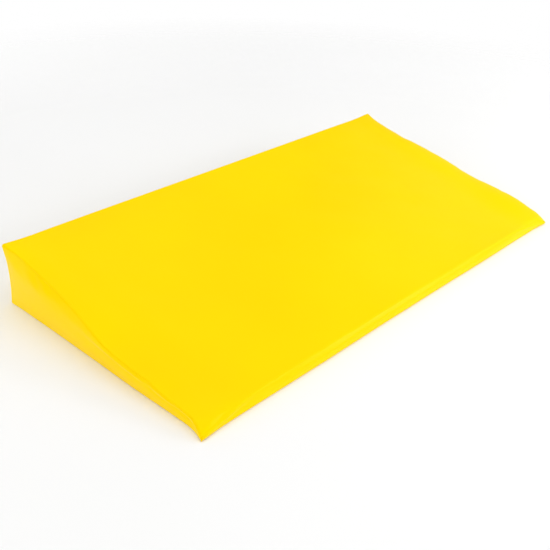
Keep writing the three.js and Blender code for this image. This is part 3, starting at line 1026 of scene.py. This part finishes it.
def add_tapes():
    for row, phase in (("upper", 1), ("lower", 2.4)):
        low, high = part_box("zip_tape_" + row)
        middle = (low + high) / 2
        x = np.arange(low.x, high.x + 1e-6, TAPE_STEP)
        centres = stacked(x, middle.y + TAPE_RIPPLE * np.sin(x * TAPE_WAVES + phase), middle.z)
        tape = strip("zip_tape_" + row + "_cloth", centres, Z, Y, high.z - low.z, TAPE_THICKNESS, TAPE_CLOTH,
                     count=7)
        finish_piece(tape, "zip_tape", "zip_tape_" + row)


def add_teeth():
    """Two rows of nylon coil that mesh at the middle of the zip."""
    for row, up, shift in (("upper", 1, 0), ("lower", -1, TOOTH_PITCH / 2)):
        low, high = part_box("zip_teeth_" + row)
        y = middle_of("zip_teeth_" + row).y
        reach = max(abs(high.z - ZIP_Z), abs(low.z - ZIP_Z)) + 0.5 * MM
        # each ring of a tooth: its place from the middle of the zip, its size and its set-back
        profile = ((-TOOTH_OVERLAP, 0.5, 0.0), (-TOOTH_OVERLAP + 0.35 * MM, 1.0, 0.0),
                   (0.5 * reach, 0.95, 0.05 * MM), (reach, 0.6, -0.35 * MM))
        teeth = Shape()
        for i in range(int((high.x - low.x - shift) / TOOTH_PITCH)):
            x = low.x + shift + (i + 0.5) * TOOTH_PITCH
            teeth.tube([ellipse(Vector((x, y + drop, ZIP_Z + up * along)),
                                X * size * TOOTH_HALF_WIDTH, Y * size * TOOTH_HALF_DEPTH, TOOTH_SIDES)
                        for along, size, drop in profile])
        finish_piece(teeth.solid("zip_coil_" + row, COIL), "zip_teeth", "zip_teeth_" + row)


def add_slider():
    """A cast slider: two plates, a bridge between the rows, and two posts that carry the pull's pin."""
    low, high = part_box("zip_slider")
    x = middle_of("zip_slider").x
    length, width = high.x - low.x, high.z - low.z
    pin_y = JOINTS["zip_pull_flip"]["pos_m"][1]
    slider = Shape()
    plate = [(px, pz * (1 - PLATE_TAPER * float(smoothstep(px, -0.1 * length, 0.5 * length))))
             for px, pz in rounded_outline(length / 2, width / 2, PLATE_CORNER)]
    for y in (REAR + PLATE_LIFT, low.y):
        slider.prism(plate, (x, ZIP_Z), y, y + PLATE)
    slider.prism(rounded_outline(*BRIDGE), (x, ZIP_Z), low.y + 1.0 * MM, REAR + 0.6 * MM)
    for side in (-1, 1):
        slider.prism(rounded_outline(*POST), (x + side * POST_REACH, ZIP_Z), REAR + PLATE, pin_y + 1.15 * MM)
    pin = sleeve(1e-4 * MM, PIN_RADIUS, -PIN_HALF, PIN_HALF)
    slider.lathe(pin, Vector((x, pin_y, ZIP_Z)), X, Y, 16)
    piece = slider.solid("zip_slider_body", ZIP_METAL)
    round_edges(piece, 0.3 * MM, harden=True)
    finish_piece(piece, "zip_metal", "zip_slider", body="slider")


def add_pull():
    """A flat pull with a rounded end and a hole, whose knuckle turns on the slider's pin."""
    pin = Vector(JOINTS["zip_pull_flip"]["pos_m"])
    pull = Shape()
    pull.lathe(sleeve(*KNUCKLE), pin, X, Y, 32)
    edge = []
    for i in range(PULL_STEPS + 1):
        t = i / PULL_STEPS
        down = PULL_TOP + t * (PULL_LENGTH - PULL_TOP - PULL_HALF_WIDTH)
        edge.append((PULL_NECK + (PULL_HALF_WIDTH - PULL_NECK) * float(smoothstep(t, 0.05, 0.55)), -down))
    end = [(PULL_HALF_WIDTH * math.cos(a), PULL_HALF_WIDTH - PULL_LENGTH - PULL_HALF_WIDTH * math.sin(a))
           for a in np.linspace(0, math.pi, 17)[1:-1]]
    outline = [(-px, pz) for px, pz in edge[::-1]] + edge + end
    pull.prism(outline, (pin.x, pin.z), pin.y - PULL_HALF_THICKNESS, pin.y + PULL_HALF_THICKNESS)
    piece = pull.solid("zip_pull_tab", ZIP_METAL)
    hole = Shape()
    hole.prism(rounded_outline(*PULL_HOLE), (pin.x, pin.z - HOLE_DROP), pin.y - 3 * MM, pin.y + 3 * MM)
    cut_out(piece, hole.solid("pull_hole", ZIP_METAL))
    round_edges(piece, 0.28 * MM)
    finish_piece(piece, "zip_metal", "zip_pull", body="pull")


def cut_out(piece, tool):
    """Cuts the tool out of the piece and removes the tool."""
    configure(piece.modifiers.new("cut", "BOOLEAN"), operation="DIFFERENCE", object=tool, solver="EXACT")
    shape = bpy.data.meshes.new_from_object(piece.evaluated_get(bpy.context.evaluated_depsgraph_get()))
    piece.modifiers.clear()
    piece.data = shape
    bpy.data.objects.remove(tool)


def add_zip_ends():
    """Rounded metal stops at both ends of the teeth, and vinyl tabs sewn over the ends of the tapes."""
    for cad_node in ("zip_end_stop_upper", "zip_end_stop_lower", "zip_start_stop"):
        low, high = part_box(cad_node)

        def rounded_block(mesh):
            bmesh.ops.create_cube(mesh, size=1)
            for vertex in mesh.verts:
                vertex.co = vertex.co * (high - low) + (low + high) / 2
            bmesh.ops.bevel(
                mesh, geom=mesh.edges[:], offset=0.5 * MM, segments=3, profile=0.5, affect="EDGES")

        stop = new_object(cad_node + "_clip", [], [], ZIP_METAL)
        edit_mesh(stop, rounded_block)
        stop.data.shade_smooth()
        finish_piece(stop, "zip_metal", cad_node)
    for side in ("left", "right"):
        add_patch("zip_tab_" + side, TAB_CORNER, TAB_INSET)


def add_patch(cad_node, corner, inset):
    """A vinyl patch sewn to the rear face: slightly domed, with rounded corners and its edge pressed down."""
    low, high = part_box(cad_node)
    middle = (low + high) / 2
    half_x, half_z = (high.x - low.x) / 2, (high.z - low.z) / 2
    surface = low.y + (high.y - low.y) * PATCH_SURFACE
    rings = []
    for depth, lift in ((0, 0), (1.2 * MM, 0.12 * MM), (inset - 0.8 * MM, 0.12 * MM), (inset, -0.1 * MM),
                        (inset + 0.8 * MM, 0.12 * MM), (inset + 3 * MM, 0.18 * MM)):
        shrink_x, shrink_z = 1 - depth / half_x, 1 - depth / half_z
        rings.append([(middle.x + px * shrink_x, surface + lift, middle.z + pz * shrink_z)
                      for px, pz in rounded_outline(half_x, half_z, corner, 4)[::-1]])
    vinyl = Shape()
    vinyl.tube(rings, start_cap=False)
    patch = new_object(cad_node + "_vinyl", vinyl.points, vinyl.faces, VINYL)
    thicken(patch, PATCH_CLOTH)
    round_edges(patch, 0.25 * MM)
    finish_piece(patch, "yellow_vinyl", cad_node)
    seam = rectangle(middle.x, middle.z, 2 * (half_x - inset), 2 * (half_z - inset), surface - 0.05 * MM)
    add_stitches(cad_node + "_stitches", "yellow_vinyl", YELLOW_THREAD, [seam])


def add_zip_stitches():
    """Topstitching that holds the zip's tapes to the two rear panels."""
    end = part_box("zip_tab_right")[0].x - TOPSTITCH_END
    rows = [[(-end, REAR, z), (end, REAR, z)]
            for z in (SLOT_LOW - TOPSTITCH_INSET, SLOT_HIGH + TOPSTITCH_INSET)]
    add_stitches("zip_topstitch", "yellow_vinyl", YELLOW_THREAD, rows)


# ---------- handle

LOOP_DEPTH = 32 * MM
LOOP_FLAT_HALF = 35 * MM
LOOP_FOOT_HALF = 80 * MM
LOOP_END_HALF = 59 * MM
SEWN_LENGTH = 50 * MM
STITCHED_BOX = (40 * MM, 31 * MM)
PATCH_CORNER, PATCH_INSET = 3 * MM, 2.4 * MM
LOOP_DROOP = math.radians(12)
STRAP_THICKNESS = 1.5 * MM
STRAP_WIDTHS = {20 * MM: 20 * MM, LOOP_FLAT_HALF: 20 * MM, LOOP_END_HALF: 25 * MM, LOOP_FOOT_HALF: 38 * MM}


def add_handle():
    """The webbing strap in two halves that meet in the middle and bend between sewn end and loop."""
    pivot = Vector(JOINTS["handle_lift"]["pos_m"])
    x = np.concatenate([np.linspace(0, LOOP_END_HALF, 24)[:-1],
                        np.linspace(LOOP_END_HALF, LOOP_FOOT_HALF, 18)[:-1],
                        np.linspace(LOOP_FOOT_HALF, LOOP_FOOT_HALF + SEWN_LENGTH, 12)])
    ramp = np.clip((x - LOOP_FLAT_HALF) / (LOOP_FOOT_HALF - LOOP_FLAT_HALF), 0, 1)
    stand_off = LOOP_DEPTH * (1 + np.cos(math.pi * ramp)) / 2
    rise = np.gradient(stand_off, x)
    length = np.sqrt(1 + rise ** 2)
    width = np.interp(x, list(STRAP_WIDTHS), list(STRAP_WIDTHS.values()))
    turn = -LOOP_DROOP * fade(x, LOOP_END_HALF, LOOP_FOOT_HALF)
    droop_y, droop_z = np.cos(turn), np.sin(turn)
    across = stacked(0, -droop_z, droop_y)
    for side, sign in (("left", -1), ("right", 1)):
        centres = stacked(sign * x, pivot.y + stand_off * droop_y, pivot.z + stand_off * droop_z)
        outward = stacked(-sign * rise / length, droop_y / length, droop_z / length)
        half = strip("handle_strap_" + side, centres, across, outward, width, STRAP_THICKNESS, WEBBING, 11)
        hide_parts("handle_end_" + side, "handle_loop")
        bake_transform(half)
        add_patch("handle_patch_" + side, PATCH_CORNER, PATCH_INSET)
        middle = sign * (LOOP_FOOT_HALF + SEWN_LENGTH / 2)
        box = rectangle(middle, pivot.z, *STITCHED_BOX, pivot.y + STRAP_THICKNESS / 2)
        paths = [box, [box[0], box[2]], [box[1], box[3]]]
        add_stitches("handle_stitches_" + side, "webbing", BLACK_THREAD, paths, pitch=3.4 * MM)


# ---------- vents and label

BORE = 5.0                 # the vents' eyelet profile, in millimetres
BARREL = 5.6
FLANGE = 9.0
WASHER = (5.9 * MM, 8.9 * MM)
LABEL_STEPS = 13
LABEL_CURL = 1.6 * MM
LABEL_THICKNESS = 0.4 * MM
LABEL_MARGIN = 2 * MM


def add_brass_ring(name, cad_node, profile, centre):
    ring = Shape()
    ring.lathe(profile, centre, Y, X, 48)
    piece = ring.solid(name, BRASS)
    round_edges(piece, 0.12 * MM)
    finish_piece(piece, "brass", cad_node)


def add_vents():
    """Brass eyelets, rolled over outside and closed on a washer inside."""
    for side in ("left", "right"):
        low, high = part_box("vent_eyelet_" + side)
        centre = middle_of("vent_eyelet_" + side)
        centre.y = REAR
        inner_end = (low.y - REAR) / MM
        rolled = [((BORE + FLANGE) / 2 + 2.0 * math.cos(angle), 0.6 + 0.9 * math.sin(angle))
                  for angle in np.linspace(0, math.pi, 9)]
        profile = [(BORE, inner_end), (BARREL, inner_end), (BARREL, 0.25), (FLANGE, 0.3),
                   (FLANGE + 0.05, 0.55), *rolled, (BORE, 0.4)]
        profile = [(radius * MM, along * MM) for radius, along in profile]
        add_brass_ring("vent_ring_" + side, "vent_eyelet_" + side, profile, centre)
        low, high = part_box("vent_washer_" + side)
        washer = sleeve(*WASHER, low.y - REAR, high.y - REAR)
        add_brass_ring("vent_backing_" + side, "vent_washer_" + side, washer, centre)


def add_label():
    """A blank woven label, sewn along its top edge and curling slightly at the bottom."""
    low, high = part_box("care_label")
    z = np.linspace(high.z, low.z, LABEL_STEPS)
    curl = LABEL_CURL * smoothstep(np.linspace(0, 1, LABEL_STEPS), 0.25, 1.0)
    middle = (low + high) / 2
    centres = stacked(middle.x, middle.y + curl, z)
    fall = np.gradient(curl, z)
    size = np.sqrt(1 + fall ** 2)
    outward = stacked(0, 1 / size, -fall / size)
    label = strip("blank_label", centres, X, outward, high.x - low.x, LABEL_THICKNESS, LABEL, count=7)
    finish_piece(label, "label_cloth", "care_label")
    top = [(x, high.y, high.z - LABEL_MARGIN) for x in (low.x + LABEL_MARGIN, high.x - LABEL_MARGIN)]
    add_stitches("label_stitches", "yellow_vinyl", YELLOW_THREAD, [top], pitch=3 * MM, radius=0.25 * MM)


# ---------- the whole mat


def add_floor():
    points = [(sx * FLOOR_SIZE, sy * FLOOR_SIZE, -0.05 * MM) for sx, sy in CORNERS]
    floor = new_object("studio_floor", points, [(0, 1, 2, 3)], floor_material(), smooth=False)


def build():
    cover = Cover()
    pattern = cover.points
    movement = stuffed(pattern, cover.faces)
    body_points = pattern + tamed(pattern, movement) + shaped(pattern)
    add_panels(cover, body_points + corner_ears(pattern))
    add_grip_dots()
    add_foam(cover, body_points)
    add_tapes()
    add_teeth()
    add_zip_ends()
    add_zip_stitches()
    add_slider()
    add_pull()
    add_handle()
    add_vents()
    add_label()
    add_floor()
    add_lights()
    add_camera()


build()
